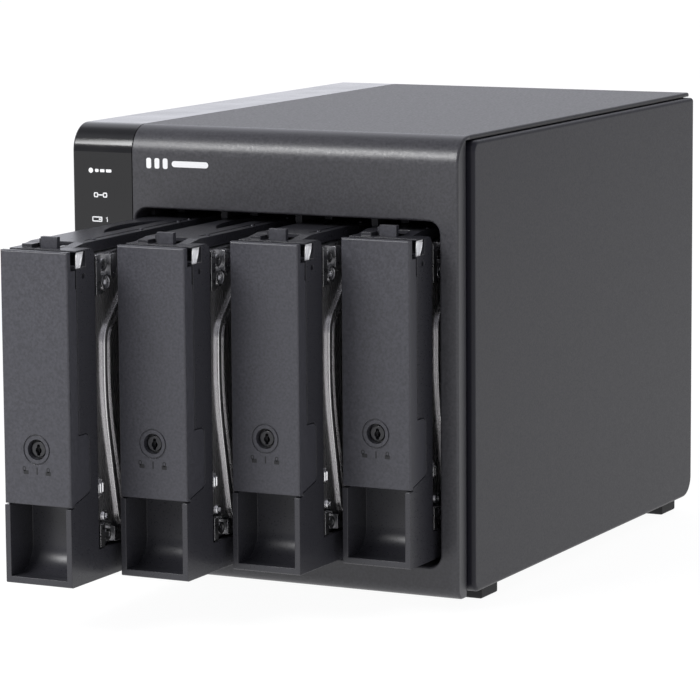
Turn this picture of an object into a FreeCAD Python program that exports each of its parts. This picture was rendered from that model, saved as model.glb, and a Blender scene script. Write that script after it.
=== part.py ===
import FreeCAD
import Part
import math
import os

# Four-bay desktop drive enclosure, front facing -Y, +Z up, origin on the desk
# under the middle of the bounding box. All sizes are in millimetres.

# ---- driving dimensions -------------------------------------------------------
WIDTH = 160.0
DEPTH = 219.0
HEIGHT = 168.5
TRAY_PULL = [95.3, 68.8, 43.6, 18.6]        # how far each tray stands out at rest
FRONT = -(DEPTH - TRAY_PULL[0]) / 2         # plane of the front bezel
REAR = FRONT + DEPTH

# front moulding and top
HOOP_HALF = 77.5                            # half width of bezel and top cover
BEZEL_BOTTOM = 4.6
BEZEL_DEPTH = 10.5
TOP_RADIUS = 10.0
TOE_RADIUS = 4.0
BEZEL_WALL = 4.0
PANEL_SKIN = 2.0                            # thickness of the glossy panel and strip
STRIP_EDGE = -52.4                          # right-hand edge of the glossy strip
SEAM = 0.35                                 # open line between the glossy parts and their neighbours
TOP_SKIN = 2.0
TOP_FRONT = FRONT + BEZEL_DEPTH + 0.2       # seam between the bezel and the top
LIP_FOOT, LIP_LOW = 75.3, 167.0             # the top's side lip stands clear over the side panels
LEDGE_LOW, LEDGE_HIGH = 164.6, 166.4        # lowered shelf under the glossy trim strip

# bay opening
BAY_LEFT, BAY_RIGHT = -51.5, 70.3
BAY_BOTTOM, BAY_TOP = 16.0, 138.8
BAY_RADIUS = 4.5

# side panels
PANEL_OUT = WIDTH / 2
PANEL_IN = 75.6
PANEL_FACE = 2.2
PANEL_FRONT = FRONT + 8.0
PANEL_REAR = REAR - 0.4
PANEL_BOTTOM, PANEL_TOP = 6.0, 166.6

# steel chassis
SHEET = 1.2
CHASSIS_OUT = 75.0
CHASSIS_BOTTOM, CHASSIS_TOP = 8.0, 164.4
CHASSIS_FRONT = FRONT + BEZEL_DEPTH + 0.5
BACK_FACE = REAR - 0.9                      # rear panel, set in behind the covers' edges
PLATE_FRONT = BACK_FACE - SHEET

# trays, in their own frame: x from the tray's middle, y back from its front
TRAY_FIRST = -36.8
TRAY_PITCH = 30.4
TRAY_HALF = 13.15
TRAY_BOTTOM, TRAY_TOP = 18.6, 134.0
TRAY_WALL = 2.0
TRAY_LENGTH = 160.0
HEAD_DEPTH = 18.5                           # depth of the moulded tray head
HEAD_FRONT = 6.4                            # the head starts here, behind the lever
RAIL_TOP = 135.0
RAIL_EDGE = 8.0                             # open right-hand edge of the upper rail
RAIL_SKIN = 1.4
TAB_HALF = 3.25                             # half width of the lever's latch tab
PLATE_LOW = 46.4                            # lower edge of the lever plate
PLATE_THICK = 2.4
PIVOT_Y, PIVOT_Z, PIVOT_R = 11.0, 125.0, 1.0
RUN_FIT = 0.05                              # radial clearance of everything that turns
LOCK_Z, LOCK_R = 65.8, 3.55

# 3.5 inch hard drive: 101.6 x 147 x 26.1
DRIVE_HALF = 13.05
DRIVE_FRONT = 20.0
DRIVE_LENGTH = 147.0
DRIVE_BOTTOM = 29.3
DRIVE_HEIGHT = 101.6
LID_X = DRIVE_HALF - 3.4                    # plane that the drive's cover lies on
LID_LOW, LID_HIGH = 38.0, 116.6
SCREW_PIN_Y = [60.0, 135.0]                 # pins of the strips, in the drive's side screw holes

# inside the case
GUIDE_FRONT = FRONT + 12.5
GUIDE_REAR = FRONT + 176.0
GUIDE_HALF = 73.7
RIB_WIDTH = 2.6
BACKPLANE = FRONT + 173.0
BOARD_THICK = 1.6
FAN_SIZE, FAN_DEPTH = 120.0, 25.0
FAN_X, FAN_Z = 10.0, 84.0
FAN_BORE = 58.0
MAIN_BOARD_X = -66.0
BOARD_FACE = MAIN_BOARD_X + BOARD_THICK     # the side of the main board that carries the ports
BUTTON_X, BUTTON_Z, BUTTON_R = -66.0, 24.0, 4.5
PORT_X = -61.4
DC_Z, USB_Z, DIP_Z, SET_Z, LOCK_SLOT_Z = 27.0, 47.0, 66.0, 84.0, 112.0

V = FreeCAD.Vector
X_AXIS, Y_AXIS, Z_AXIS = V(1, 0, 0), V(0, 1, 0), V(0, 0, 1)


# ---- small helpers ------------------------------------------------------------
def block(x0, x1, y0, y1, z0, z1):
    return Part.makeBox(x1 - x0, y1 - y0, z1 - z0, V(x0, y0, z0))


def rod(radius, start, length, axis=Y_AXIS):
    return Part.makeCylinder(radius, length, V(*start), axis)


def fuse(solids):
    return solids[0].fuse(solids[1:]).removeSplitter()


def outline(points):
    """Closed flat face from 3-D corners; a corner given with a radius is rounded."""
    corners = [(V(*p[0]), p[1]) for p in points]
    cuts = []
    for i, (corner, radius) in enumerate(corners):
        before = (corners[i - 1][0] - corner).normalize()
        after = (corners[(i + 1) % len(corners)][0] - corner).normalize()
        if radius == 0:
            cuts.append((corner, corner, corner))
            continue
        half = before.getAngle(after) / 2
        reach = radius / math.tan(half)
        centre = corner + (before + after).normalize() * (radius / math.sin(half))
        middle = centre + (corner - centre).normalize() * radius
        cuts.append((corner + before * reach, middle, corner + after * reach))
    edges = []
    for i, (start, middle, end) in enumerate(cuts):
        if (end - start).Length > 1e-6:
            edges.append(Part.Arc(start, middle, end).toShape())
        following = cuts[(i + 1) % len(cuts)][0]
        if (following - end).Length > 1e-6:
            edges.append(Part.LineSegment(end, following).toShape())
    return Part.Face(Part.Wire(edges))


def prism(points, push):
    return outline(points).extrude(V(*push))


def rounded_xz(x0, x1, z0, z1, radius, y0, y1):
    corners = [(x0, z0), (x1, z0), (x1, z1), (x0, z1)]
    return prism([((x, y0, z), radius) for x, z in corners], (0, y1 - y0, 0))


def edges_where(shape, test):
    return [e for e in shape.Edges if test(e)]


def edge_on_plane(edge, axis, value):
    box = edge.BoundBox
    low, high = {"x": (box.XMin, box.XMax), "y": (box.YMin, box.YMax), "z": (box.ZMin, box.ZMax)}[axis]
    return abs(low - value) < 0.01 and abs(high - value) < 0.01


def save(name, solids):
    shape = solids[0] if len(solids) == 1 else Part.makeCompound(solids)
    shape.exportStep("parts/" + name + ".step")


# ---- front moulding -----------------------------------------------------------
def front_profile(inset, x0, x1, depth):
    """Side profile of the moulding, square to X, drawn in by inset."""
    y0, y1 = FRONT + inset, FRONT + depth
    low, high = BEZEL_BOTTOM + inset, HEIGHT - inset
    toe = max(TOE_RADIUS - inset, 0.5)
    return prism([((x0, y0, low), toe), ((x0, y1, low), 0),
                  ((x0, y1, high), 0), ((x0, y0, high), TOP_RADIUS - inset)], (x1 - x0, 0, 0))


def front_bezel():
    """Moulding all round the bay, rounded over at the top, recessed for the glossy panel."""
    body = front_profile(0, -HOOP_HALF, HOOP_HALF, BEZEL_DEPTH)
    side_edges = edges_where(body, lambda e: edge_on_plane(e, "x", HOOP_HALF) and
                             not edge_on_plane(e, "y", FRONT + BEZEL_DEPTH))
    body = body.makeFillet(0.8, side_edges)
    body = body.cut(front_profile(BEZEL_WALL, -73.5, 73.5, BEZEL_DEPTH + 1))
    # the side walls step in behind the visible lip, under the side panels
    for side in (-1, 1):
        lip = block(75.2, 80.0, FRONT + 6.5, FRONT + 20, 0, LIP_LOW)
        body = body.cut(lip if side > 0 else lip.mirror(V(0, 0, 0), X_AXIS))
    collar = rounded_xz(BAY_LEFT - 1.8, BAY_RIGHT + 1.8, BAY_BOTTOM - 1.8, BAY_TOP + 1.8,
                        BAY_RADIUS + 1.8, FRONT + 1, FRONT + 11.5)
    opening = rounded_xz(BAY_LEFT, BAY_RIGHT, BAY_BOTTOM, BAY_TOP, BAY_RADIUS, FRONT - 1, FRONT + 20)
    body = fuse([body, collar]).cut(opening)
    rim = edges_where(body, lambda e: edge_on_plane(e, "y", FRONT) and e.BoundBox.XMin > BAY_LEFT - 0.1
                      and e.BoundBox.XMax < BAY_RIGHT + 0.1 and e.BoundBox.ZMax < BAY_TOP + 0.1
                      and e.BoundBox.ZMin > BAY_BOTTOM - 0.1)
    body = body.makeFillet(0.9, rim)
    # recess for the glossy panel
    recess = front_profile(-1, -HOOP_HALF - 1, STRIP_EDGE, BEZEL_DEPTH + 1)
    recess = recess.cut(front_profile(PANEL_SKIN + 0.05, -HOOP_HALF - 2, STRIP_EDGE + 1, BEZEL_DEPTH + 2))
    body = body.cut(recess)
    body = body.cut(rod(BUTTON_R + 0.2, (BUTTON_X, FRONT - 1, BUTTON_Z), 10))
    for z in lamp_heights():
        body = body.cut(block(BUTTON_X - 2.2, BUTTON_X + 2.2, FRONT, FRONT + 6, z - 1, z + 1))
    return body


def lamp_heights():
    return [151.7 - 8.9 * i for i in range(6)]


def status_panel():
    x1 = STRIP_EDGE - SEAM
    body = front_profile(0, -HOOP_HALF, x1, BEZEL_DEPTH)
    outer = edges_where(body, lambda e: edge_on_plane(e, "x", -HOOP_HALF) and
                        not edge_on_plane(e, "y", FRONT + BEZEL_DEPTH))
    body = body.makeFillet(0.8, outer)
    body = body.cut(front_profile(PANEL_SKIN, -HOOP_HALF - 1, x1 + 1, BEZEL_DEPTH + 1))
    body = body.cut(block(-80, x1 + 1, FRONT + 6.5, FRONT + 20, 0, 10))
    return body.cut(rod(BUTTON_R + 0.2, (BUTTON_X, FRONT - 1, BUTTON_Z), 10))


def power_button():
    cap = rod(BUTTON_R, (BUTTON_X, FRONT + 0.2, BUTTON_Z), 4.2)
    rim = edges_where(cap, lambda e: edge_on_plane(e, "y", FRONT + 0.2))
    cap = cap.makeFillet(0.5, rim)
    flange = rod(5.6, (BUTTON_X, FRONT + 4.3, BUTTON_Z), 1.0)
    stem = rod(1.5, (BUTTON_X, FRONT + 5.0, BUTTON_Z), 3.0)
    return fuse([cap, flange, stem])


def light_pipes():
    x0, x1 = BUTTON_X - 2, BUTTON_X + 2
    return [block(x0, x1, FRONT + 2.2, FRONT + 8, z - 0.8, z + 0.8) for z in lamp_heights()]


def lamp_board():
    return block(BUTTON_X - 5, BUTTON_X + 5, FRONT + 10.0, FRONT + 11.2, 16, 158)


# ---- top, sides, chassis ------------------------------------------------------
def top_cover():
    skin = block(STRIP_EDGE, HOOP_HALF, TOP_FRONT, REAR, HEIGHT - TOP_SKIN, HEIGHT)
    right = edges_where(skin, lambda e: edge_on_plane(e, "x", HOOP_HALF) and edge_on_plane(e, "z", HEIGHT))
    skin = skin.makeFillet(0.8, right)
    skin = skin.cut(block(LIP_FOOT, 80.0, TOP_FRONT - 1, REAR + 1, 160, LIP_LOW))
    riser = block(STRIP_EDGE, STRIP_EDGE + 1.6, TOP_FRONT, REAR, LEDGE_LOW, HEIGHT - 0.5)
    ledge = block(-LIP_FOOT, STRIP_EDGE + 1.6, TOP_FRONT, REAR, LEDGE_LOW, LEDGE_HIGH)
    flanges = [block(71.8, 73.6, TOP_FRONT + 4, REAR - 12, 152, 167),
               block(-73.6, -71.8, TOP_FRONT + 4, REAR - 12, 152, 165)]
    return fuse([skin, riser, ledge] + flanges)


def top_trim_strip():
    strip = block(-HOOP_HALF, STRIP_EDGE - SEAM, TOP_FRONT, REAR, LEDGE_HIGH + 0.05, HEIGHT)
    left = edges_where(strip, lambda e: edge_on_plane(e, "x", -HOOP_HALF) and edge_on_plane(e, "z", HEIGHT))
    strip = strip.makeFillet(0.8, left)
    return strip.cut(block(-80.0, -LIP_FOOT, TOP_FRONT - 1, REAR + 1, 160, LIP_LOW))


def panel_outline(x, inset, depth):
    y0, y1 = PANEL_FRONT + inset, PANEL_REAR - inset
    z0, z1 = PANEL_BOTTOM + inset, PANEL_TOP - inset
    corners = [((x, y0, z0), 4.5), ((x, y1, z0), 8.0), ((x, y1, z1), 1.5), ((x, y0, z1), 4.0)]
    return prism([(p, max(r - inset, 0)) for p, r in corners], (depth, 0, 0))


def side_panel():
    """Pan-shaped cover over the right side; the left one is its mirror."""
    pan = panel_outline(PANEL_IN, 0, PANEL_OUT - PANEL_IN)
    pan = pan.makeFillet(1.3, edges_where(pan, lambda e: edge_on_plane(e, "x", PANEL_OUT)))
    return pan.cut(panel_outline(PANEL_IN - 1, 2.0, PANEL_OUT - PANEL_FACE - PANEL_IN + 1))


def chassis_shell():
    y0, y1 = CHASSIS_FRONT, PLATE_FRONT
    floor = block(-CHASSIS_OUT, CHASSIS_OUT, y0, y1, CHASSIS_BOTTOM, CHASSIS_BOTTOM + SHEET)
    floor = floor.cut(fuse([block(-40 + 20 * i, -34 + 20 * i, FRONT + 60, FRONT + 150, 0, 20)
                            for i in range(5)]))
    right = block(CHASSIS_OUT - SHEET, CHASSIS_OUT, y0, y1, CHASSIS_BOTTOM, CHASSIS_TOP)
    left = block(-CHASSIS_OUT, -CHASSIS_OUT + SHEET, y0, y1, CHASSIS_BOTTOM, CHASSIS_TOP)
    return fuse([floor, right, left])


def foot_spots():
    return [(side, y) for side in (-1, 1) for y in (FRONT + 26.0, FRONT + 200.5)]


def foot_pads():
    pads = []
    for side, y in foot_spots():
        x0 = 64.0 if side > 0 else -74.5
        pad = block(x0, x0 + 10.5, y, y + 13.5, 0, 5)
        pads.append(pad.makeFillet(0.8, edges_where(pad, lambda e: edge_on_plane(e, "z", 0))))
    return pads


def foot_brackets():
    brackets = []
    for side, y in foot_spots():
        x0 = 61.0 if side > 0 else -75.2
        flange = block(x0, x0 + 14.2, y - 1.5, y + 16.5, 5, 6.6)
        spacer = block(x0 + 1, x0 + 13.2, y + 0.5, y + 14.5, 6.6, CHASSIS_BOTTOM)
        brackets.append(fuse([flange, spacer]))
    return brackets


# ---- drive cage ---------------------------------------------------------------
def tray_centres():
    return [TRAY_FIRST + TRAY_PITCH * i for i in range(4)]


def rib_centres():
    first = TRAY_FIRST - TRAY_PITCH / 2
    return [first + 0.2] + [first + TRAY_PITCH * i for i in range(1, 5)]


def upper_guide_plate():
    pieces = [block(-GUIDE_HALF, GUIDE_HALF, GUIDE_FRONT, GUIDE_REAR, 139.2, 141.2)]
    for x in rib_centres():
        x0 = x - RIB_WIDTH / 2
        rib = [((x0, GUIDE_FRONT, 140), 0), ((x0, GUIDE_REAR - 6, 140), 0), ((x0, GUIDE_REAR - 6, 127), 0),
               ((x0, GUIDE_FRONT + 6, 127), 3), ((x0, GUIDE_FRONT, 135), 0)]
        pieces.append(prism(rib, (RIB_WIDTH, 0, 0)))
    for x in tray_centres():
        pieces.append(block(x - 9, x - 6, FRONT + 21, GUIDE_REAR - 6, RAIL_TOP + 0.3, 140))
    return fuse(pieces)


def lower_guide_plate():
    pieces = [block(-GUIDE_HALF, GUIDE_HALF, GUIDE_FRONT, GUIDE_REAR, 12.2, 14.2)]
    for y in (GUIDE_FRONT + 6, GUIDE_REAR - 16):
        pieces.append(block(-GUIDE_HALF, GUIDE_HALF, y, y + 6, CHASSIS_BOTTOM + SHEET, 12.5))
    for x in rib_centres():
        pieces.append(block(x - RIB_WIDTH / 2, x + RIB_WIDTH / 2, GUIDE_FRONT, GUIDE_REAR - 6, 14, 26))
    for x in tray_centres():
        pieces.append(block(x - 7, x + 7, GUIDE_FRONT, GUIDE_REAR - 6, 14, TRAY_BOTTOM - 0.1))
    return fuse(pieces)


def backplane_board():
    board = block(-50, 71, BACKPLANE, BACKPLANE + BOARD_THICK, 14.2, 139.2)
    for x in rib_centres()[1:4]:
        for z in (48, 96):
            board = board.cut(rounded_xz(x - 3, x + 3, z - 18, z + 18, 2.9, BACKPLANE - 1, BACKPLANE + 4))
    return board


def drive_socket(x):
    """One combined power and data socket, with its contact tongue slot."""
    y0 = BACKPLANE - 5.2
    body = block(x - 10, x - 4.5, y0, BACKPLANE, 84, 124)
    return body.cut(block(x - 8.2, x - 6.4, y0 - 1, y0 + 4, 86, 122))


def main_board():
    return block(MAIN_BOARD_X, BOARD_FACE, FRONT + 40, PLATE_FRONT - 1, 18, 134)


# ---- rear ---------------------------------------------------------------------
def ring_slot(r_in, r_out, spoke):
    """A ring of four curved air slots, parted by straight spokes."""
    ring = rod(r_out, (FAN_X, PLATE_FRONT - 1, FAN_Z), 4).cut(rod(r_in, (FAN_X, PLATE_FRONT - 1, FAN_Z), 4))
    for angle in (45, 135):
        bar = block(-80, 80, PLATE_FRONT - 2, PLATE_FRONT + 4, -spoke / 2, spoke / 2)
        bar.rotate(V(0, 0, 0), Y_AXIS, angle)
        bar.translate(V(FAN_X, 0, FAN_Z))
        ring = ring.cut(bar)
    return ring


def screw_spots():
    fan = [(FAN_X + sx * 52.5, FAN_Z + sz * 52.5) for sx in (-1, 1) for sz in (-1, 1)]
    case = [(sx * 71.0, z) for sx in (-1, 1) for z in (14.0, 158.0)]
    return fan + case


def rear_panel():
    plate = rounded_xz(-75.3, 75.3, CHASSIS_BOTTOM - 1, CHASSIS_TOP, 3, PLATE_FRONT, BACK_FACE)
    for r_in, r_out in ((22, 28.5), (31, 37.5), (40, 46.5), (49, 55.5)):
        plate = plate.cut(ring_slot(r_in, r_out, 4.0))
    for x, z in screw_spots():
        plate = plate.cut(rod(1.7, (x, PLATE_FRONT - 1, z), 4))
    plate = plate.cut(rod(4.6, (PORT_X, PLATE_FRONT - 1, DC_Z), 4))
    plate = plate.cut(rounded_xz(PORT_X - 2.1, PORT_X + 2.1, USB_Z - 5, USB_Z + 5, 2.0,
                                 PLATE_FRONT - 1, REAR + 1))
    plate = plate.cut(block(PORT_X - 3.2, PORT_X + 3.2, PLATE_FRONT - 1, REAR + 1, DIP_Z - 6, DIP_Z + 6))
    plate = plate.cut(rod(1.9, (PORT_X, PLATE_FRONT - 1, SET_Z), 4))
    plate = plate.cut(rounded_xz(PORT_X - 1.5, PORT_X + 1.5, LOCK_SLOT_Z - 3.5, LOCK_SLOT_Z + 3.5, 0.9,
                                 PLATE_FRONT - 1, REAR + 1))
    return plate


def rear_screws():
    """Low-headed cross-recess screws."""
    screws = []
    for x, z in screw_spots():
        head = rod(2.9, (x, BACK_FACE, z), 0.8)
        head = head.makeFillet(0.5, edges_where(head, lambda e: edge_on_plane(e, "y", BACK_FACE + 0.8)))
        shank = rod(1.6, (x, PLATE_FRONT - 6, z), BACK_FACE - PLATE_FRONT + 6.1)
        upright = block(x - 0.35, x + 0.35, BACK_FACE - 0.4, REAR + 1, z - 1.5, z + 1.5)
        level = block(x - 1.5, x + 1.5, BACK_FACE - 0.4, REAR + 1, z - 0.35, z + 0.35)
        screws.append(fuse([head, shank]).cut(fuse([upright, level])))
    return screws


def fan_frame():
    y0, y1 = PLATE_FRONT - FAN_DEPTH, PLATE_FRONT
    half = FAN_SIZE / 2
    body = rounded_xz(FAN_X - half, FAN_X + half, FAN_Z - half, FAN_Z + half, 5, y0, y1)
    body = body.cut(rod(FAN_BORE, (FAN_X, y0 - 1, FAN_Z), FAN_DEPTH + 2))
    waist = rounded_xz(FAN_X - half - 1, FAN_X + half + 1, FAN_Z - half - 1, FAN_Z + half + 1, 5,
                       y0 + 4, y1 - 4)
    waist = waist.cut(rod(FAN_BORE + 1.8, (FAN_X, y0, FAN_Z), FAN_DEPTH))
    body = body.cut(waist)
    struts = [rod(20, (FAN_X, y1 - 4, FAN_Z), 4)]
    for angle in (0, 90, 180, 270):
        bar = block(15, FAN_BORE + 1, y1 - 4, y1 - 1, -1.5, 1.5)
        bar.rotate(V(0, 0, 0), Y_AXIS, angle + 45)
        bar.translate(V(FAN_X, 0, FAN_Z))
        struts.append(bar)
    body = fuse([body] + struts).cut(rod(1.5 + RUN_FIT, (FAN_X, y1 - 4.5, FAN_Z), 3.5))
    for x, z in screw_spots()[:4]:
        body = body.cut(rod(1.65, (x, y0 - 1, z), FAN_DEPTH + 2))
    return body


def fan_rotor():
    """Hub, shaft and seven pitched blades, cut to the bore's sweep."""
    y0 = PLATE_FRONT - FAN_DEPTH + 2
    hub = rod(19.5, (0, y0, 0), 18)
    hub = hub.makeFillet(1.5, edges_where(hub, lambda e: edge_on_plane(e, "y", y0)))
    hub = fuse([hub, rod(1.5, (0, y0 + 10, 0), 11.2)])
    blades = []
    for i in range(7):
        blade = block(-14, 14, -0.8, 0.8, 17, 60)
        blade.rotate(V(0, 0, 0), Z_AXIS, 32)
        blade.translate(V(0, y0 + 9, 0))
        blade.rotate(V(0, 0, 0), Y_AXIS, 360.0 / 7 * i)
        blades.append(blade)
    sweep = rod(56.0, (0, y0 + 0.5, 0), 17)
    rotor = fuse([hub] + [b.common(sweep) for b in blades])
    rotor.translate(V(FAN_X, 0, FAN_Z))
    return rotor


def dc_inlet():
    y1 = BACK_FACE + 0.6
    body = block(BOARD_FACE, PORT_X + 5.5, PLATE_FRONT - 13, PLATE_FRONT - 0.2, DC_Z - 6, DC_Z + 6)
    nose = rod(4.4, (PORT_X, PLATE_FRONT - 1, DC_Z), y1 - PLATE_FRONT + 1)
    body = fuse([body, nose]).cut(rod(3.2, (PORT_X, PLATE_FRONT - 9, DC_Z), 20))
    return fuse([body, rod(1.0, (PORT_X, PLATE_FRONT - 10, DC_Z), 10.5)])


def usb_socket():
    x0, x1 = PORT_X - 1.7, PORT_X + 1.7
    shell = rounded_xz(x0, x1, USB_Z - 4.5, USB_Z + 4.5, 1.6, PLATE_FRONT - 7, BACK_FACE + 0.4)
    mouth = rounded_xz(x0 + 0.4, x1 - 0.4, USB_Z - 4.1, USB_Z + 4.1, 1.2, PLATE_FRONT - 6, REAR + 1)
    shell = shell.cut(mouth)
    tongue = block(PORT_X - 0.35, PORT_X + 0.35, PLATE_FRONT - 6.5, BACK_FACE - 0.4, USB_Z - 3.1, USB_Z + 3.1)
    leg = block(BOARD_FACE, x0 + 0.2, PLATE_FRONT - 6, PLATE_FRONT - 1, USB_Z - 3, USB_Z + 3)
    return fuse([shell, tongue, leg])


def dip_slots():
    return [DIP_Z - 3.6 + 3.6 * i for i in range(3)]


def dip_switch_block():
    body = block(BOARD_FACE, PORT_X + 3.0, PLATE_FRONT - 5, BACK_FACE - 0.1, DIP_Z - 5.8, DIP_Z + 5.8)
    for z in dip_slots():
        body = body.cut(block(PORT_X - 2.4, PORT_X + 2.4, PLATE_FRONT - 2, REAR + 1, z - 0.9, z + 0.9))
    return body


def dip_slider(z):
    return block(PORT_X - 2.3, PORT_X - 0.3, PLATE_FRONT - 1.9, BACK_FACE + 0.5, z - 0.75, z + 0.75)


def set_button():
    cap = rod(1.7, (PORT_X, PLATE_FRONT - 4, SET_Z), 5.9)
    return fuse([cap, rod(2.6, (PORT_X, PLATE_FRONT - 3, SET_Z), 2.8)])


# ---- one tray, built at x = 0 with its front plate at y = 0 ----------------------
def lever_ear(x0, depth, gap):
    """Side outline of the lever's lower ear, grown by gap all round."""
    return prism([((x0, 1.2 - gap, 47.0 - 1.3 * gap), 0), ((x0, 12.8 + gap, 50.2 - gap), 1.5),
                  ((x0, 12.8 + gap, 70.5 + gap), 2.5), ((x0, 1.2 - gap, 70.5 + gap), 0)], (depth, 0, 0))


def tray_frame():
    """Head with its finger pocket, and the two rails that hold the drive."""
    inner = TRAY_HALF - TRAY_WALL
    head = block(-TRAY_HALF, TRAY_HALF, 0, HEAD_DEPTH, TRAY_BOTTOM, TRAY_TOP)
    toe = edges_where(head, lambda e: edge_on_plane(e, "y", 0) and e.BoundBox.ZMax < TRAY_TOP)
    head = head.makeFillet(0.6, toe)
    shoulder = edges_where(head, lambda e: edge_on_plane(e, "y", HEAD_DEPTH) and
                           edge_on_plane(e, "z", TRAY_TOP))
    head = head.makeFillet(3.0, shoulder)
    # finger pocket with a floor that sweeps up into the back wall
    pocket = prism([((-inner, -1, 21.0), 0), ((-inner, 14.5, 21.0), 9.0), ((-inner, 14.5, 60), 0),
                    ((-inner, -1, 60), 0)], (2 * inner, 0, 0))
    head = head.cut(pocket)
    # room for the lever: its plate, its ears, and everything behind them
    head = head.cut(block(-20, 20, -1, 2.7, PLATE_LOW - 0.5, 140))
    head = head.cut(block(-20, 20, -1, HEAD_FRONT, 52.0, 140))
    head = head.cut(lever_ear(-20, 40, 0.3))
    head = head.cut(block(-inner, inner, 0, HEAD_DEPTH - TRAY_WALL, 45.6, 131.8))
    # a window in each side for the steel leaf, and the pivot's bore
    head = head.cut(block(-20, 20, HEAD_FRONT - 1, 12.6, 127.8, 133.4))
    head = head.cut(rod(PIVOT_R, (-20, PIVOT_Y, PIVOT_Z), 40, X_AXIS))
    stop = block(-9.5, -5.5, 8.5, 13.5, 133, 135.3)
    guide = block(-5.4, -TAB_HALF - 0.75, 13.2, 15.4, 133, 136.8)
    frame = fuse([head, stop, guide, lower_rail(), upper_rail()])
    frame = frame.cut(block(-5.2, -4.2, 8.8, 12.4, 131, 140))
    return frame.cut(block(-TAB_HALF - 0.55, TAB_HALF + 0.55, 9.6, 22, 129.5, 140))


def lower_rail():
    """Channel under the drive, closed at the back."""
    rail = block(-TRAY_HALF, TRAY_HALF, HEAD_DEPTH - 0.5, TRAY_LENGTH, TRAY_BOTTOM, 28.9)
    half = TRAY_HALF - TRAY_WALL
    return rail.cut(block(-half, half, HEAD_DEPTH + 1, TRAY_LENGTH - 2, TRAY_BOTTOM + 1.8, 30))


def upper_rail():
    """Ribbed plate over the drive; it ramps up out of the head and stops short at the right."""
    x0, low = -TRAY_HALF, RAIL_TOP - RAIL_SKIN
    side = [(13.5, 132.6), (13.5, TRAY_TOP), (20.5, RAIL_TOP), (TRAY_LENGTH, RAIL_TOP),
            (TRAY_LENGTH, low), (20.5, low), (18.4, 132.6)]
    rail = prism([((x0, y, z), 0) for y, z in side], (RAIL_EDGE - x0, 0, 0))
    ribs = [block(x0, x0 + TRAY_WALL, HEAD_DEPTH - 1, TRAY_LENGTH, 131.3, RAIL_TOP - 0.5),
            block(RAIL_EDGE - 1.6, RAIL_EDGE, HEAD_DEPTH - 1, TRAY_LENGTH, 131.3, RAIL_TOP - 0.5),
            block(x0, RAIL_EDGE, TRAY_LENGTH - 2, TRAY_LENGTH, 131.3, RAIL_TOP - 0.5)]
    # a long opening with one bowed side, and a groove along the other edge
    opening = rod(39.2, (30.9, 72.5, 120), 20, Z_AXIS).common(block(-20, -1.2, 0, 160, 120, 140))
    groove = block(3.9, 4.9, 27, 150, RAIL_TOP - 0.6, RAIL_TOP + 1)
    return fuse([rail] + ribs).cut(fuse([opening, groove]))


def tray_lever():
    """Front plate that pulls the tray: it turns on a pin near its top and carries the lock."""
    plate = block(-TRAY_HALF, TRAY_HALF, 0, PLATE_THICK, PLATE_LOW, TRAY_TOP)
    plate = plate.makeFillet(0.6, edges_where(plate, lambda e: edge_on_plane(e, "y", 0)))
    pieces = [plate]
    for side in (-1, 1):
        x0 = TRAY_HALF - 1.4 if side > 0 else -TRAY_HALF
        wall = fuse([block(x0, x0 + 1.4, 1.2, 6.0, 50, 121), block(x0, x0 + 1.4, 1.2, 5.4, 50, 127.3)])
        ear = lever_ear(x0, 1.4, 0)
        a0 = 8.9 if side > 0 else -10.9
        arm = fuse([block(a0, a0 + 2.0, 1.2, PIVOT_Y, PIVOT_Z - 3.2, PIVOT_Z + 3.2),
                    rod(3.2, (a0, PIVOT_Y, PIVOT_Z), 2.0, X_AXIS)])
        pieces += [wall, ear, arm]
    web = block(-10.9, 10.9, 1.2, 12.5, 126.6, 128.2)
    tab = block(-TAB_HALF, TAB_HALF, 10.5, 12.5, 126.6, 137.8)
    boss = rod(5.4, (0, 1.2, LOCK_Z), 7.8)
    lever = fuse(pieces + [web, tab, boss])
    lever = lever.cut(rod(PIVOT_R + RUN_FIT, (-20, PIVOT_Y, PIVOT_Z), 40, X_AXIS))
    lever = lever.cut(rod(LOCK_R + RUN_FIT, (0, -1, LOCK_Z), 20))
    ring = rod(5.3, (0, -1, LOCK_Z), 1.4).cut(rod(4.8, (0, -2, LOCK_Z), 4))
    return lever.cut(ring)


def tray_lock():
    """Lock barrel, sunk in its bore, with a keyway in front and a cam behind."""
    nose = rod(2.75, (0, 1.2, LOCK_Z), 2.0)
    nose = nose.makeFillet(0.3, edges_where(nose, lambda e: edge_on_plane(e, "y", 1.2)))
    barrel = fuse([nose, rod(LOCK_R, (0, 2.7, LOCK_Z), 7.15)])
    keyway = rounded_xz(-0.6, 0.6, LOCK_Z - 2.3, LOCK_Z + 1.7, 0.5, -1, 5)
    dimple = rod(1.2, (0, -1, LOCK_Z - 0.4), 4)
    cam = block(-2.4, 7.2, 9.3, 10.8, LOCK_Z - 2.4, LOCK_Z + 2.4)
    return fuse([barrel.cut(fuse([keyway, dimple])), cam])


def tray_pivot_pin():
    half = TRAY_HALF - 0.7
    return rod(PIVOT_R, (-half, PIVOT_Y, PIVOT_Z), 2 * half, X_AXIS)


def tray_springs():
    """Two thin steel leaves, one held in the window at each side of the head."""
    leaves = []
    for x in (12.3, -12.7):
        leaf = [((x, 6.9, 127.8), 0), ((x, 9.8, 127.8), 0), ((x, 11.9, 133.4), 0), ((x, 7.5, 133.4), 0)]
        leaves.append(prism(leaf, (0.4, 0, 0)))
    return leaves


def tray_strips():
    """Clip-in strips whose pins stand in the drive's screw holes."""
    strips = []
    for low, pin_from in ((24.0, 25.9), (131.4, 129.4)):
        strip = block(-2, 5, 40, 150, low, low + 2.1)
        strip = strip.cut(block(1.8, 4, 70, 130, low - 1, low + 4))
        pins = [rod(1.5, (0, y, pin_from), 3.2, Z_AXIS) for y in SCREW_PIN_Y]
        strips.append(fuse([strip] + pins))
    return strips


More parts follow.
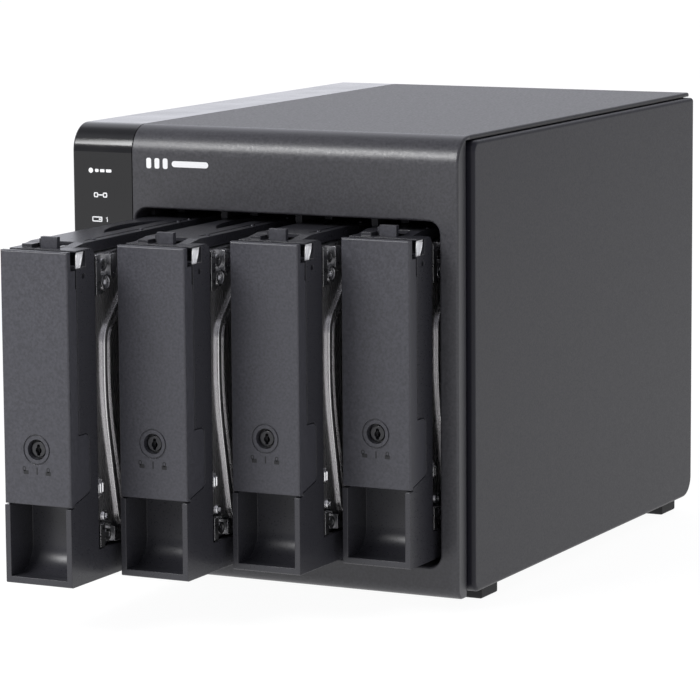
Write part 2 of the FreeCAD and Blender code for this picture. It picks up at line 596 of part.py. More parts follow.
# ---- one hard drive, in the tray's frame -----------------------------------------
def mirrored_low(solid):
    """The same detail at the drive's lower edge."""
    middle = DRIVE_BOTTOM + DRIVE_HEIGHT / 2
    return solid.mirror(V(0, 0, middle), Z_AXIS)


def corner_lug():
    """Upper front corner of the casting: screw seats, a hole and a fin, up to full thickness."""
    top, base = DRIVE_BOTTOM + DRIVE_HEIGHT, DRIVE_HALF - 2.2
    full = DRIVE_HALF - 0.15
    pad = [(DRIVE_FRONT, 117.2), (27.6, 117.2), (36, 125.6), (36, top), (DRIVE_FRONT, top)]
    fin = [(29.6, 130.3), (33.6, 130.3), (33.6, 123.6), (31.4, 121.4), (29.6, 123.0)]
    pieces = [prism([((8, y, z), 0) for y, z in pad], (base - 8, 0, 0)),
              block(8, full, DRIVE_FRONT, DRIVE_FRONT + 3.0, 117.2, top),
              prism([((8, y, z), 0) for y, z in fin], (full - 8, 0, 0)),
              rod(2.9, (8, 26.6, 121.0), full - 8, X_AXIS),
              rod(2.2, (8, 25.0, 127.2), full - 8, X_AXIS)]
    lug = fuse(pieces)
    lug = lug.cut(rod(2.3, (full - 1.4, 26.6, 121.0), 5, X_AXIS))
    return lug.cut(rod(1.2, (full - 3.0, 25.0, 127.2), 5, X_AXIS))


def drive_casting():
    y0, y1 = DRIVE_FRONT, DRIVE_FRONT + DRIVE_LENGTH
    z0, z1 = DRIVE_BOTTOM, DRIVE_BOTTOM + DRIVE_HEIGHT
    body = block(-DRIVE_HALF, LID_X, y0, y1, z0, z1)
    ends = edges_where(body, lambda e: e.BoundBox.XLength > 20)
    body = body.makeFillet(1.2, ends)
    lug = corner_lug()
    below_lid = prism([((0, y0, z0), 0), ((0, 36.0, z0), 0), ((0, 27.4, LID_LOW - 0.9), 0),
                       ((0, y0, LID_LOW - 0.9), 0)], (20, 0, 0))
    low_lug = mirrored_low(lug).common(below_lid)
    rear_lugs = [block(8, DRIVE_HALF - 0.15, y1 - 10, y1, z0, z0 + 7.7),
                 block(8, DRIVE_HALF - 0.15, y1 - 10, y1, z1 - 12, z1)]
    body = fuse([body, lug, low_lug] + rear_lugs)
    # hollow for the discs, and a shallow one on the other face for the drive's board
    cavity = fuse([rod(43, (-6, 73, 80), 30, X_AXIS), block(-6, 24, 73, 150, 42, 106)])
    cavity = cavity.common(block(-6, LID_X + 0.01, 0, 200, 0, 200))
    body = body.cut(cavity)
    body = body.cut(rounded_xz(-20, -DRIVE_HALF + 2.0, 36, 124, 0, y0 + 30, y1 + 1))
    for z in (z0, z1 - 2.2):
        for y in SCREW_PIN_Y:
            body = body.cut(rod(1.65, (0, y, z - 0.5), 3.2, Z_AXIS))
    return body


def bead_outline(inset, x0, depth):
    """Raised line pressed in the cover, bowed at the front and straight towards the back."""
    corners = [((35.5 + inset, 33.5 + inset), 6), ((26.2 + inset, 79.0), 120), ((26.6 + inset, 103.6), 9),
               ((45.0 + inset, 122.0 - inset), 9), ((152.0 - inset, 122.0 - inset), 9),
               ((152.0 - inset, 33.5 + inset), 9)]
    return prism([((x0, y, z), r) for (y, z), r in corners], (depth, 0, 0))


def drive_cover():
    y0 = DRIVE_FRONT + 2.3
    front = [(y0, LID_LOW), (27.9, LID_LOW), (35.9, 30.6), (155.5, 30.6), (155.5, 124.2),
             (35.5, 124.2), (27.9, LID_HIGH), (y0, LID_HIGH)]
    plate = prism([((LID_X, y, z), 0.6) for y, z in front], (0.9, 0, 0))
    # a notch in the front edge round the casting's clip
    plate = plate.cut(prism([((0, y0 - 1, 45.0), 0), ((0, y0 + 3.0, 47.2), 0), ((0, y0 + 3.0, 52.2), 0),
                             ((0, y0 - 1, 54.5), 0)], (20, 0, 0)))
    bead = bead_outline(0, LID_X + 0.5, 1.7).cut(bead_outline(2.4, LID_X, 4))
    bead = bead.makeFillet(0.7, edges_where(bead, lambda e: edge_on_plane(e, "x", LID_X + 2.2)))
    ridge = bead_outline(4.6, LID_X + 0.5, 1.1).cut(bead_outline(5.6, LID_X, 4))
    return fuse([plate, bead, ridge])


# ---- everything to file ----------------------------------------------------------
def move(shape, n):
    copy = shape.copy()
    copy.translate(V(tray_centres()[n], FRONT - TRAY_PULL[n], 0))
    return copy


def write_all():
    os.makedirs("parts", exist_ok=True)
    right = side_panel()
    fixed = {
        "front_bezel": [front_bezel()], "status_panel": [status_panel()], "top_cover": [top_cover()],
        "top_trim_strip": [top_trim_strip()], "side_panel_right": [right],
        "side_panel_left": [right.mirror(V(0, 0, 0), X_AXIS)], "chassis_shell": [chassis_shell()],
        "rear_panel": [rear_panel()], "rear_screws": rear_screws(), "foot_pads": foot_pads(),
        "foot_brackets": foot_brackets(), "upper_guide_plate": [upper_guide_plate()],
        "lower_guide_plate": [lower_guide_plate()], "backplane_board": [backplane_board()],
        "drive_sockets": [drive_socket(x) for x in tray_centres()], "main_board": [main_board()],
        "lamp_board": [lamp_board()], "light_pipes": light_pipes(), "usb_socket": [usb_socket()],
        "dc_inlet": [dc_inlet()], "dip_switch_block": [dip_switch_block()], "fan_frame": [fan_frame()],
        "fan_rotor": [fan_rotor()], "power_button": [power_button()], "set_button": [set_button()],
    }
    for i, z in enumerate(dip_slots()):
        fixed["dip_slider_%d" % (i + 1)] = [dip_slider(z)]
    for name, solids in fixed.items():
        save(name, solids)
    tray = {
        "frame": [tray_frame()], "lever": [tray_lever()], "lock": [tray_lock()],
        "pivot_pin": [tray_pivot_pin()], "springs": tray_springs(), "strips": tray_strips(),
        "drive_casting": [drive_casting()], "drive_cover": [drive_cover()],
    }
    for n in range(4):
        for name, solids in tray.items():
            save("tray_%d_%s" % (n + 1, name), [move(s, n) for s in solids])


write_all()
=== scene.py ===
import math

import bmesh
import bpy
from mathutils import Matrix, Vector


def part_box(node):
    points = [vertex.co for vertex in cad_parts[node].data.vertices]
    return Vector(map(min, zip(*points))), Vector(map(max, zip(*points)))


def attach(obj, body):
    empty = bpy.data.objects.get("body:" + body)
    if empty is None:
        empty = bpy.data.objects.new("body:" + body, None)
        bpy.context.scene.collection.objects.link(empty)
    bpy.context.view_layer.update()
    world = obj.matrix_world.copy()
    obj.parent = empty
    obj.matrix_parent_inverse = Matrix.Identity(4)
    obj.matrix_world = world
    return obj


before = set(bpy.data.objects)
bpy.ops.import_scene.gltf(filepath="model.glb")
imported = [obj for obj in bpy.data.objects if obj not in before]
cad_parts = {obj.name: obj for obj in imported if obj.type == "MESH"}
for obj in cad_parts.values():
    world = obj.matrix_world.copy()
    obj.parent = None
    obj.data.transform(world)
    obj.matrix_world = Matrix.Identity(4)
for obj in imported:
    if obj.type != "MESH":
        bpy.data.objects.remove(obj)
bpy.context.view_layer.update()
scene = bpy.context.scene

MM = 0.001
TRAYS = range(1, 5)

# Printed signs, and the dark patches that paint the shade in the lever's sunk signs, stand just
# proud of their face, and start just inside it (mm).
PRINT_HEIGHT = 0.05
SUNK_HEIGHT = 0.04
PRINT_BASE = -0.02
PRINT_EDGE = 0.01

# Rows of lamps on the glossy strip: its middle, the top row and the step down (m).
STRIP_X = -0.066
LAMP_TOP = 0.1517
LAMP_STEP = 0.0089

MARK_Z = 0.1552          # middle of the front mark
LOCK_SIGNS_Z = 0.0584    # middle of the signs under each lock
RAIL_TOP = 0.135         # upper face of each tray's upper rail

# Camera fitted to the photograph; its place is measured from the bezel's front face.
CAMERA_LENS = 188.8
CAMERA_YAW = math.radians(26.59)
CAMERA_PITCH = math.radians(-8.37)
CAMERA_ROLL = -0.007
CAMERA_PLACE = (0.61125, -1.15077, 0.28103)

FLOOR_HALF = 6.0
FLOOR_TONE = 0.10
FLOOR_GLOW = 0.95


# ---- materials ------------------------------------------------------------------
def material(name, colour, roughness, metallic=0.0, specular=0.5):
    """A Principled material and the tools to add nodes to it."""
    mat = bpy.data.materials.new(name)
    mat.use_nodes = True
    tree = mat.node_tree
    shader = tree.nodes["Principled BSDF"]
    shader.inputs["Base Color"].default_value = (*colour, 1.0)
    shader.inputs["Roughness"].default_value = roughness
    shader.inputs["Metallic"].default_value = metallic
    shader.inputs["Specular IOR Level"].default_value = specular
    return mat, tree, shader


def noise(tree, scale, detail=3.0, stretch=(1, 1, 1)):
    """Noise of that many cycles a metre, fixed to the object."""
    place = tree.nodes.new("ShaderNodeTexCoord")
    mapping = tree.nodes.new("ShaderNodeMapping")
    mapping.inputs["Scale"].default_value = stretch
    texture = tree.nodes.new("ShaderNodeTexNoise")
    texture.inputs["Scale"].default_value = scale
    texture.inputs["Detail"].default_value = detail
    tree.links.new(place.outputs["Object"], mapping.inputs["Vector"])
    tree.links.new(mapping.outputs["Vector"], texture.inputs["Vector"])
    return texture.outputs["Fac"]


def spread(tree, value, low, high):
    """Maps a noise value, mostly from 0.3 to 0.7, onto low to high."""
    node = tree.nodes.new("ShaderNodeMapRange")
    node.inputs["From Min"].default_value = 0.3
    node.inputs["From Max"].default_value = 0.7
    node.inputs["To Min"].default_value = low
    node.inputs["To Max"].default_value = high
    tree.links.new(value, node.inputs["Value"])
    return node.outputs["Result"]


def tint(tree, shader, value, dark, light):
    """Base colour that wanders between two close tones."""
    node = tree.nodes.new("ShaderNodeMix")
    node.data_type = "RGBA"
    node.inputs["A"].default_value = (*dark, 1.0)
    node.inputs["B"].default_value = (*light, 1.0)
    tree.links.new(value, node.inputs["Factor"])
    tree.links.new(node.outputs["Result"], shader.inputs["Base Color"])


def relief(tree, shader, height, depth, strength=1.0, edge=0.0):
    """Bump of that depth over edges softened to a small radius, both in mm."""
    bump = tree.nodes.new("ShaderNodeBump")
    bump.inputs["Distance"].default_value = depth * MM
    bump.inputs["Strength"].default_value = strength
    tree.links.new(height, bump.inputs["Height"])
    if edge:
        bevel = tree.nodes.new("ShaderNodeBevel")
        bevel.samples = 4
        bevel.inputs["Radius"].default_value = edge * MM
        tree.links.new(bevel.outputs["Normal"], bump.inputs["Normal"])
    tree.links.new(bump.outputs["Normal"], shader.inputs["Normal"])


def scaled(colour, factor):
    return tuple(c * factor for c in colour)


def moulded(name, colour, roughness, grain=0.35, depth=0.012, mottle=0.08, edge=0.25,
            specular=0.5):
    """Spark-eroded plastic: fine grain, faint mottling, edges that catch light. Sizes in mm."""
    mat, tree, shader = material(name, colour, roughness, specular=specular)
    fine = noise(tree, 1 / (grain * MM), 2.0)
    dark, light = scaled(colour, 1 - mottle), scaled(colour, 1 + mottle)
    tint(tree, shader, spread(tree, fine, 0, 1), dark, light)
    sheen = spread(tree, fine, roughness - 0.05, roughness + 0.06)
    tree.links.new(sheen, shader.inputs["Roughness"])
    relief(tree, shader, fine, depth, 1.0, edge)
    return mat


def glossy_black():
    """Polished black with a faint haze and a slight waviness."""
    mat, tree, shader = material("piano_black", (0.005, 0.005, 0.006), 0.15)
    haze = noise(tree, 60.0, 5.0)
    tree.links.new(spread(tree, haze, 0.13, 0.18), shader.inputs["Roughness"])
    tint(tree, shader, haze, (0.0045, 0.0045, 0.0055), (0.006, 0.006, 0.007))
    relief(tree, shader, noise(tree, 25.0, 1.0), 0.01, 0.3)
    return mat


def bright_metal(name, colour, roughness, stretch=(1, 1, 1), scale=900.0, depth=0.01,
                 metallic=1.0):
    """Bare metal with a fine grain, drawn out along an axis by stretch."""
    mat, tree, shader = material(name, colour, roughness, metallic=metallic)
    grain = noise(tree, scale, 3.0, stretch)
    sheen = spread(tree, grain, roughness * 0.8, roughness * 1.25)
    tree.links.new(sheen, shader.inputs["Roughness"])
    tint(tree, shader, grain, scaled(colour, 0.92), scaled(colour, 1.06))
    relief(tree, shader, grain, depth, 0.6, 0.2)
    return mat


def powder_coat():
    """Dark paint with a fine orange-peel texture."""
    mat, tree, shader = material("powder_coat", (0.02, 0.02, 0.022), 0.5)
    fine = noise(tree, 2600.0, 2.0)
    tint(tree, shader, fine, (0.016, 0.016, 0.018), (0.026, 0.026, 0.028))
    relief(tree, shader, fine, 0.03, 0.8, 0.2)
    return mat


def rubber():
    """Matt black rubber."""
    mat, tree, shader = material("foot_rubber", (0.012, 0.012, 0.013), 0.75)
    fine = noise(tree, 3000.0, 3.0)
    tint(tree, shader, fine, (0.010, 0.010, 0.011), (0.017, 0.017, 0.018))
    relief(tree, shader, fine, 0.03, 0.6, 0.3)
    return mat


def circuit_board():
    """Green solder mask with the faint traces under it."""
    mat, tree, shader = material("solder_mask", (0.01, 0.07, 0.035), 0.3)
    place = tree.nodes.new("ShaderNodeTexCoord")
    bricks = tree.nodes.new("ShaderNodeTexBrick")
    bricks.inputs["Scale"].default_value = 160.0
    bricks.inputs["Mortar Size"].default_value = 0.03
    tree.links.new(place.outputs["Object"], bricks.inputs["Vector"])
    tint(tree, shader, bricks.outputs["Fac"], (0.008, 0.055, 0.028), (0.02, 0.11, 0.05))
    relief(tree, shader, noise(tree, 700.0), 0.02, 0.5)
    return mat


def clear_plastic():
    """Light pipes: clear, with a slightly uneven polish."""
    mat, tree, shader = material("light_pipe", (0.85, 0.9, 0.9), 0.1)
    shader.inputs["Transmission Weight"].default_value = 0.8
    fine = noise(tree, 300.0)
    tree.links.new(spread(tree, fine, 0.08, 0.16), shader.inputs["Roughness"])
    return mat


def ink_and_shade_paint(name, colour):
    """Screen-printed ink, slightly uneven; also the dark patches of painted shade for sunk signs.
    """
    mat, tree, shader = material(name, colour, 0.55)
    fine = noise(tree, 1500.0, 2.0)
    tint(tree, shader, fine, scaled(colour, 0.93), colour)
    relief(tree, shader, fine, 0.005, 0.5)
    return mat


MATS = {
    "bezel": moulded("bezel_plastic", (0.039, 0.0385, 0.044), 0.34,
                     grain=0.9, depth=0.02, mottle=0.22),
    # Painted shade: the top cover is the bezel's plastic with its base colour darkened, to offset
    # the stronger light falling on the top.
    "cover": moulded("cover_plastic", (0.014, 0.0135, 0.0165), 0.43,
                     grain=0.9, depth=0.012, mottle=0.3),
    "side": moulded("side_plastic", (0.011, 0.0105, 0.0165), 0.42,
                    grain=0.6, depth=0.006, mottle=0.1, edge=0.0, specular=0.3),
    "gloss": glossy_black(),
    "lever": moulded("lever_plastic", (0.043, 0.043, 0.052), 0.40,
                     grain=0.9, depth=0.02, mottle=0.22),
    "tray": moulded("tray_plastic", (0.030, 0.030, 0.036), 0.31, grain=0.6, edge=0.45),
    "inner": moulded("inner_plastic", (0.050, 0.050, 0.056), 0.45, edge=0.0),
    "fan": moulded("fan_plastic", (0.012, 0.012, 0.013), 0.45, grain=0.5),
    "paint": powder_coat(),
    "rubber": rubber(),
    "lock": moulded("lock_metal", (0.020, 0.020, 0.023), 0.30, grain=0.5, depth=0.006),
    "steel": bright_metal("bright_steel", (0.82, 0.82, 0.84), 0.28),
    "leaf": bright_metal("satin_steel", (0.95, 0.95, 0.96), 0.45, metallic=0.35),
    "screw": bright_metal("black_steel", (0.10, 0.10, 0.11), 0.35),
    "casting": bright_metal("drive_casting", (0.52, 0.52, 0.53), 0.30, scale=500.0, depth=0.05),
    "drive": bright_metal("drive_cover", (0.66, 0.65, 0.66), 0.26,
                          stretch=(1, 1, 0.05), depth=0.002, metallic=0.9),
    "board": circuit_board(),
    "chip": moulded("chip_resin", (0.010, 0.010, 0.011), 0.35,
                    grain=0.4, depth=0.004, edge=0.1),
    "socket": moulded("socket_plastic", (0.010, 0.010, 0.011), 0.3, grain=0.5),
    "pipe": clear_plastic(),
    "white": moulded("switch_white", (0.62, 0.62, 0.60), 0.4,
                     grain=0.5, depth=0.004, mottle=0.03),
    "ink": ink_and_shade_paint("white_ink", (0.86, 0.86, 0.87)),
    # Painted shade: near-black patches in place of the shade inside the lever's engraved signs.
    "engraving_shade_paint": ink_and_shade_paint("sunk_signs_painted_shade", (0.008, 0.008, 0.010)),
}

FIXED = {
    "front_bezel": "bezel", "status_panel": "gloss", "top_cover": "cover",
    "top_trim_strip": "gloss", "side_panel_right": "side", "side_panel_left": "side",
    "chassis_shell": "paint", "rear_panel": "paint", "rear_screws": "screw",
    "foot_pads": "rubber", "foot_brackets": "side",
    "upper_guide_plate": "inner", "lower_guide_plate": "inner",
    "backplane_board": "board", "main_board": "board", "lamp_board": "board",
    "drive_sockets": "socket", "light_pipes": "pipe", "usb_socket": "steel",
    "dc_inlet": "socket", "dip_switch_block": "socket",
    "fan_frame": "fan", "fan_rotor": "fan", "power_button": "gloss", "set_button": "socket",
    "dip_slider_1": "white", "dip_slider_2": "white", "dip_slider_3": "white",
}
PER_TRAY = {
    "frame": "tray", "lever": "lever", "lock": "lock", "pivot_pin": "screw", "springs": "leaf",
    "strips": "inner", "drive_casting": "casting", "drive_cover": "drive",
}


def dress(node, key):
    """Gives a CAD node its material."""
    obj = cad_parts[node]
    obj.data.materials.clear()
    obj.data.materials.append(MATS[key])


for node, key in FIXED.items():
    dress(node, key)
for n in TRAYS:
    for part, key in PER_TRAY.items():
        dress("tray_%d_%s" % (n, part), key)


# ---- small raised and sunk details ----------------------------------------------
# A detail is drawn in a flat frame (a, b, d): a across, b up, d out of the surface, in mm.
def front_face(x, y, z):
    """Frame on a face that looks forwards; a runs to the right."""
    return lambda a, b, d: Vector((x + a * MM, y - d * MM, z + b * MM))


def right_face(x, y, z):
    """Frame on a face that looks to the right; a runs backwards."""
    return lambda a, b, d: Vector((x + d * MM, y + a * MM, z + b * MM))


def left_face(x, y, z):
    """Frame on a face that looks to the left; a runs backwards."""
    return lambda a, b, d: Vector((x - d * MM, y + a * MM, z + b * MM))


def upper_face(x, y, z):
    """Frame on a face that looks up; a runs to the right and b backwards."""
    return lambda a, b, d: Vector((x + a * MM, y + b * MM, z + d * MM))


def rounded(a, b, width, height, radius):
    """Points round a rounded rectangle about (a, b)."""
    steps = 5
    points = []
    radius = min(radius, width / 2, height / 2)
    for i, (sa, sb) in enumerate(((1, 1), (-1, 1), (-1, -1), (1, -1))):
        for k in range(steps + 1):
            angle = math.radians(90 * i + 90 * k / steps)
            points.append((a + sa * (width / 2 - radius) + radius * math.cos(angle),
                           b + sb * (height / 2 - radius) + radius * math.sin(angle)))
    return points


def circle(a, b, radius, lobe=0.0):
    """Points round a circle about (a, b), drawn in between six lobes by that share."""
    count = 36
    points = []
    for k in range(count):
        angle = 2 * math.pi * k / count
        reach = radius * ((1 - lobe) + lobe * math.cos(6 * angle))
        points.append((a + reach * math.cos(angle), b + reach * math.sin(angle)))
    return points


def skin(bm, rows):
    """Faces from each closed row of vertices to the next."""
    for low, high in zip(rows, rows[1:]):
        for i in range(len(low)):
            k = (i + 1) % len(low)
            bm.faces.new((low[i], low[k], high[k], high[i]))


def loft(bm, place, loops, closed=True):
    """Skin over loops of equal count, each ((a, b) points, d); closed caps the last one."""
    rows = [[bm.verts.new(place(a, b, d)) for a, b in points] for points, d in loops]
    skin(bm, rows)
    if closed:
        bm.faces.new(rows[-1])


def pad(bm, place, a, b, width, height, depth, radius=0.3, base=0.0, soft=0.12):
    """Low rounded block with its top edge eased."""
    soft = min(soft, depth / 2)
    outer = rounded(a, b, width, height, radius)
    inner = rounded(a, b, width - 2 * soft, height - 2 * soft, max(radius - soft, 0.05))
    loft(bm, place, [(outer, base), (outer, base + depth - soft), (inner, base + depth)])


def printed(bm, place, a, b, width, height, radius, depth=PRINT_HEIGHT):
    """One rounded patch of print."""
    pad(bm, place, a, b, width, height, depth, radius, PRINT_BASE, PRINT_EDGE)


def ring(bm, place, a, b, width, height, line, depth, radius):
    """Raised outline of a rounded rectangle."""
    outer = rounded(a, b, width, height, radius)
    inner = rounded(a, b, width - 2 * line, height - 2 * line, max(radius - line, 0.05))
    loft(bm, place, [(outer, 0.0), (outer, depth), (inner, depth), (inner, 0.0)], closed=False)


def screw(bm, place, a, b, radius, height, base=0.0):
    """Low screw head with a six-lobed recess."""
    rim = circle(a, b, radius)
    crown = circle(a, b, radius * 0.86)
    recess = circle(a, b, radius * 0.55, lobe=0.16)
    loft(bm, place, [(rim, base), (rim, base + height * 0.7), (crown, base + height),
                     (recess, base + height), (recess, base + height * 0.35)])


def finish_piece(name, bm, key, body):
    """Makes a drawn detail into a piece that rides on a body."""
    bmesh.ops.recalc_face_normals(bm, faces=bm.faces)
    mesh = bpy.data.meshes.new(name)
    bm.to_mesh(mesh)
    bm.free()
    mesh.materials.append(MATS[key])
    obj = bpy.data.objects.new(name, mesh)
    scene.collection.objects.link(obj)
    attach(obj, body)


def front_mark():
    """A plain printed mark in place of a word: three bars and a long dash."""
    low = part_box("front_bezel")[0]
    place = front_face(0, low.y, MARK_Z)
    bm = bmesh.new()
    for a in (-45.6, -42.2, -38.8):
        printed(bm, place, a, 0, 2.0, 3.8, 0.7)
    printed(bm, place, -28.6, 0, 15.0, 2.2, 1.1)
    finish_piece("front_mark", bm, "ink", "root")


# Straight strokes of each numeral; the ends are corners of a cell 1 wide and 1 high.
NUMERALS = {
    1: [((0.5, 0), (0.5, 1)), ((0.2, 0.85), (0.5, 0.85))],
    2: [((0, 1), (1, 1)), ((1, 1), (1, 0.5)), ((0, 0.5), (1, 0.5)), ((0, 0.5), (0, 0)),
        ((0, 0), (1, 0))],
    3: [((0, 1), (1, 1)), ((1, 1), (1, 0)), ((0, 0.5), (1, 0.5)), ((0, 0), (1, 0))],
    4: [((0, 1), (0, 0.45)), ((0, 0.45), (1, 0.45)), ((1, 1), (1, 0))],
}


def numeral(bm, place, digit, a, b, width, height):
    """A numeral whose cell has its lower left corner at (a, b)."""
    line = 0.34
    for (a0, b0), (a1, b1) in NUMERALS[digit]:
        printed(bm, place, a + (a0 + a1) / 2 * width, b + (b0 + b1) / 2 * height,
                abs(a1 - a0) * width + line, abs(b1 - b0) * height + line, 0.08)


def status_legends():
    """Printed signs beside the lamps: activity, link, and the four numbered drives."""
    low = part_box("status_panel")[0]
    bm = bmesh.new()
    place = front_face(STRIP_X, low.y, LAMP_TOP)
    printed(bm, place, -3.9, 0, 1.9, 1.9, 0.95)
    for a, width in ((-1.4, 1.5), (0.9, 1.9), (3.6, 2.3)):
        printed(bm, place, a, 0, width, 1.1, 0.3)
    place = front_face(STRIP_X, low.y, LAMP_TOP - LAMP_STEP)
    ring(bm, place, -1.9, 0, 1.8, 1.8, 0.42, 0.03, 0.4)
    ring(bm, place, 1.9, 0, 1.8, 1.8, 0.42, 0.03, 0.4)
    printed(bm, place, 0, 0, 2.2, 0.42, 0.1)
    for n in TRAYS:
        place = front_face(STRIP_X, low.y, LAMP_TOP - LAMP_STEP * (n + 1))
        ring(bm, place, -1.5, 0, 4.2, 1.9, 0.4, 0.03, 0.35)
        printed(bm, place, -0.4, 0, 0.9, 0.5, 0.1)
        numeral(bm, place, n, 2.2, -0.75, 1.0, 1.5)
    finish_piece("status_legends", bm, "ink", "root")


def lever_marks(n):
    """Sunk signs under the lock: open, a divider, closed, drawn as dark patches of painted shade
    standing in for their engraving.
    """
    low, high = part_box("tray_%d_lever" % n)
    place = front_face((low.x + high.x) / 2, low.y, LOCK_SIGNS_Z)
    bm = bmesh.new()
    for side, shift in ((-1, -0.7), (1, 0)):
        printed(bm, place, 4.4 * side, -0.6, 2.0, 1.4, 0.25, SUNK_HEIGHT)
        ring(bm, place, 4.4 * side + shift, 0.6, 1.3, 1.7, 0.34, 0.02, 0.6)
    printed(bm, place, 0, 0, 0.55, 2.6, 0.2, SUNK_HEIGHT)
    finish_piece("lever_%d_marks" % n, bm, "engraving_shade_paint", "lever_%d" % n)


def drive_right_details(n):
    """Screws, folded clip and low bosses on the drive's cover side."""
    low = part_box("tray_%d_drive_casting" % n)[0]
    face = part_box("tray_%d_drive_cover" % n)[0].x
    place = right_face(face, low.y, 0)
    bm = bmesh.new()
    screw(bm, place, 6.6, 121.0, 1.9, 1.0, base=1.7)
    screw(bm, place, 6.6, 39.2, 1.9, 1.0, base=0.6)
    for a, b in ((118, 104), (118, 52), (40, 60), (84, 40.7)):
        screw(bm, place, a, b, 2.3, 0.8, base=0.9)
    finish_piece("drive_%d_screws" % n, bm, "steel", "tray_%d" % n)
    bm = bmesh.new()
    for a in (1.2, 2.8, 4.4):
        pad(bm, place, a, 49.7, 1.2, 3.6, 2.2, 0.4, 0.0, 0.35)
    pad(bm, place, 2.8, 49.7, 4.8, 2.9, 1.6, 0.3, 0.0, 0.2)
    finish_piece("drive_%d_clip" % n, bm, "steel", "tray_%d" % n)
    bm = bmesh.new()
    pad(bm, place, 53, 78, 24, 24, 0.5, 12.0, 0.85, 0.25)
    pad(bm, place, 104, 44, 30, 9, 0.4, 2.0, 0.85, 0.2)
    finish_piece("drive_%d_bosses" % n, bm, "drive", "tray_%d" % n)


def drive_left_details(n):
    """Circuit board, its chips and screws, in the recess on the drive's other side."""
    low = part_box("tray_%d_drive_casting" % n)[0]
    place = left_face(low.x + 2.0 * MM, low.y, 0)
    bm = bmesh.new()
    pad(bm, place, 70, 100, 74, 44, 1.0, 1.0, 0.0, 0.08)
    pad(bm, place, 92, 61, 30, 36, 1.0, 1.0, 0.0, 0.08)
    finish_piece("drive_%d_board" % n, bm, "board", "tray_%d" % n)
    bm = bmesh.new()
    for a, b, width, height in ((56, 104, 14, 14), (78, 108, 9, 11), (92, 92, 7, 9),
                                (46, 88, 5, 6), (66, 88, 4, 8), (90, 66, 8, 8)):
        pad(bm, place, a, b, width, height, 0.75, 0.4, 1.0, 0.12)
    for k in range(12):
        pad(bm, place, 42 + 5 * k, 119, 1.6, 0.9, 0.5, 0.1, 1.0, 0.1)
        pad(bm, place, 84 + 1.9 * k, 50, 0.9, 1.8, 0.5, 0.1, 1.0, 0.1)
    pad(bm, place, 122, 102, 12, 36, 1.7, 0.6, 0.0, 0.2)
    finish_piece("drive_%d_chips" % n, bm, "chip", "tray_%d" % n)
    bm = bmesh.new()
    for a, b in ((37, 119), (103, 119), (37, 82), (103, 46), (81, 46)):
        screw(bm, place, a, b, 1.8, 0.6, base=1.0)
    for k in range(14):
        for a in (47.6, 64.4):
            pad(bm, place, a, 99.6 + 0.65 * k, 1.2, 0.3, 0.25, 0.1, 1.0, 0.05)
    finish_piece("drive_%d_board_screws" % n, bm, "steel", "tray_%d" % n)


def rail_pins(n):
    """Dark pin heads along the open edge of the upper rail."""
    low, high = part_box("tray_%d_frame" % n)
    place = upper_face((low.x + high.x) / 2, low.y, RAIL_TOP)
    bm = bmesh.new()
    for back in (30.0, 63.0, 90.0, 98.0, 140.0):
        rim = rounded(6.2, back, 1.5, 1.5, 0.75)
        crown = rounded(6.2, back, 0.9, 0.9, 0.45)
        loft(bm, place, [(rim, -0.1), (rim, 0.25), (crown, 0.5)])
    finish_piece("tray_%d_pins" % n, bm, "screw", "tray_%d" % n)


def spring_tongue(n):
    """The steel leaf's tongue, bent forwards inside its window."""
    low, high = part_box("tray_%d_springs" % n)
    place = front_face(high.x, low.y, low.z)
    bm = bmesh.new()
    left, right, thick, steps = -1.0, 0.7, 0.35, 8
    rows = []
    for k in range(steps + 1):
        t = k / steps
        lean = 0.45 * t
        back = 0.9 + 1.3 * t + 0.4 * math.sin(math.pi * t)
        corners = ((left, 0), (right, 0), (right, thick), (left, thick))
        rows.append([bm.verts.new(place(a + lean, 0.3 + 4.6 * t, -back - d)) for a, d in corners])
    skin(bm, rows)
    bm.faces.new(rows[0])
    bm.faces.new(rows[-1])
    finish_piece("tray_%d_tongue" % n, bm, "leaf", "tray_%d" % n)


front_mark()
status_legends()
for n in TRAYS:
    spring_tongue(n)
    lever_marks(n)
    drive_right_details(n)
    drive_left_details(n)
    rail_pins(n)


# ---- camera, floor and light ----------------------------------------------------
def make_camera():
    """At the photograph's angle: to the right of the case and a little above it."""
    data = bpy.data.cameras.new("camera")
    data.sensor_width = 36.0
    data.lens = CAMERA_LENS
    data.clip_end = 50.0
    obj = bpy.data.objects.new("camera", data)
    scene.collection.objects.link(obj)
    level = math.cos(CAMERA_PITCH)
    ahead = Vector((-math.sin(CAMERA_YAW) * level, math.cos(CAMERA_YAW) * level,
                    math.sin(CAMERA_PITCH)))
    across = Vector((math.cos(CAMERA_YAW), math.sin(CAMERA_YAW), 0))
    up = across.cross(ahead)
    right = across * math.cos(CAMERA_ROLL) + up * math.sin(CAMERA_ROLL)
    top = up * math.cos(CAMERA_ROLL) - across * math.sin(CAMERA_ROLL)
    turn = Matrix((right, top, -ahead)).transposed()
    x, y, z = CAMERA_PLACE
    bezel_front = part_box("front_bezel")[0].y
    obj.matrix_world = Matrix.Translation((x, bezel_front + y, z)) @ turn.to_4x4()
    scene.camera = obj


def make_floor():
    """A plain pale sheet under the object, bright enough to read as white."""
    mesh = bpy.data.meshes.new("floor")
    corners = ((-1, -1), (1, -1), (1, 1), (-1, 1))
    points = [(FLOOR_HALF * x, FLOOR_HALF * y, 0) for x, y in corners]
    mesh.from_pydata(points, [], [(0, 1, 2, 3)])
    obj = bpy.data.objects.new("floor", mesh)
    scene.collection.objects.link(obj)
    tone = (FLOOR_TONE,) * 3
    mat, tree, shader = material("pale_floor", tone, 0.9, specular=0.1)
    tint(tree, shader, noise(tree, 3.0), scaled(tone, 0.98), scaled(tone, 1.02))
    shader.inputs["Emission Color"].default_value = (1, 1, 1, 1)
    shader.inputs["Emission Strength"].default_value = FLOOR_GLOW
    mesh.materials.append(mat)


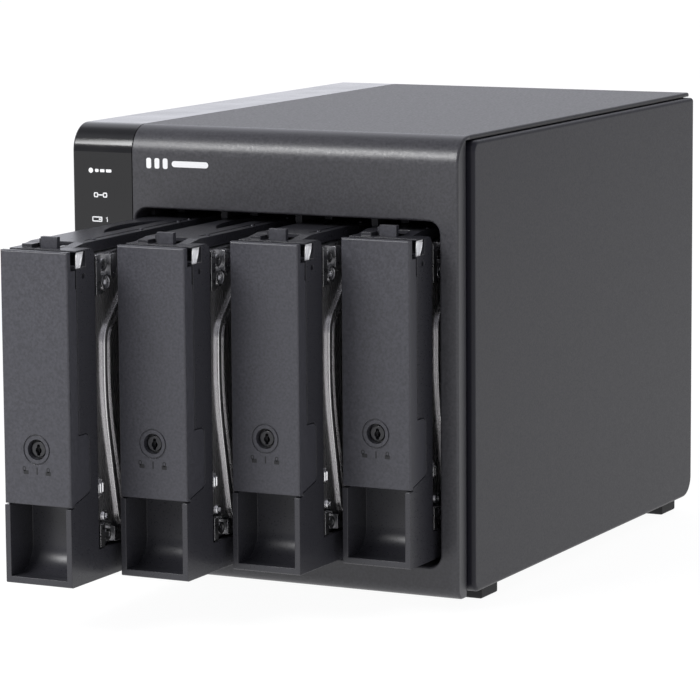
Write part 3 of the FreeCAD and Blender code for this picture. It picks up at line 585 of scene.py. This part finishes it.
def make_world():
    """A studio's soft surroundings: bright walls low down, a dark ceiling, dimmer to the right."""
    world = bpy.data.worlds.new("studio")
    scene.world = world
    world.use_nodes = True
    tree = world.node_tree
    place = tree.nodes.new("ShaderNodeTexCoord")

    def ramp(direction, start, end, low, high):
        """Strength that goes from low to high as the view turns towards a direction."""
        dot = tree.nodes.new("ShaderNodeVectorMath")
        dot.operation = "DOT_PRODUCT"
        dot.inputs[1].default_value = direction
        node = tree.nodes.new("ShaderNodeMapRange")
        node.interpolation_type = "SMOOTHSTEP"
        node.inputs["From Min"].default_value = start
        node.inputs["From Max"].default_value = end
        node.inputs["To Min"].default_value = low
        node.inputs["To Max"].default_value = high
        tree.links.new(place.outputs["Generated"], dot.inputs[0])
        tree.links.new(dot.outputs["Value"], node.inputs["Value"])
        return node.outputs["Result"]

    def times(first, second):
        """Product of two strengths."""
        node = tree.nodes.new("ShaderNodeMath")
        node.operation = "MULTIPLY"
        tree.links.new(first, node.inputs[0])
        tree.links.new(second, node.inputs[1])
        return node.outputs["Value"]

    walls = ramp((0, 0, 1), start=0.74, end=0.88, low=1.12, high=0.30)
    right = ramp((0.87, 0.5, 0), start=0.1, end=0.9, low=1.0, high=0.35)
    front = ramp((0, -1, 0), start=0.0, end=0.8, low=1.0, high=0.35)
    background = tree.nodes["Background"]
    background.inputs["Color"].default_value = (0.97, 0.98, 1.06, 1)
    tree.links.new(times(times(walls, right), front), background.inputs["Strength"])


def softbox(name, place, target, size, power):
    """Rectangular lamp at a place, aimed at a target."""
    data = bpy.data.lights.new(name, "AREA")
    data.shape = "RECTANGLE"
    data.size, data.size_y = size
    data.energy = power
    obj = bpy.data.objects.new(name, data)
    scene.collection.objects.link(obj)
    obj.location = place
    obj.rotation_mode = "QUATERNION"
    obj.rotation_quaternion = (Vector(target) - Vector(place)).to_track_quat("-Z", "Y")


make_camera()
make_floor()
make_world()
softbox("key", place=(-0.36, -0.80, 0.66), target=(0, -0.1, 0.16), size=(0.42, 0.34), power=7.6)
scene.view_settings.view_transform = "Standard"
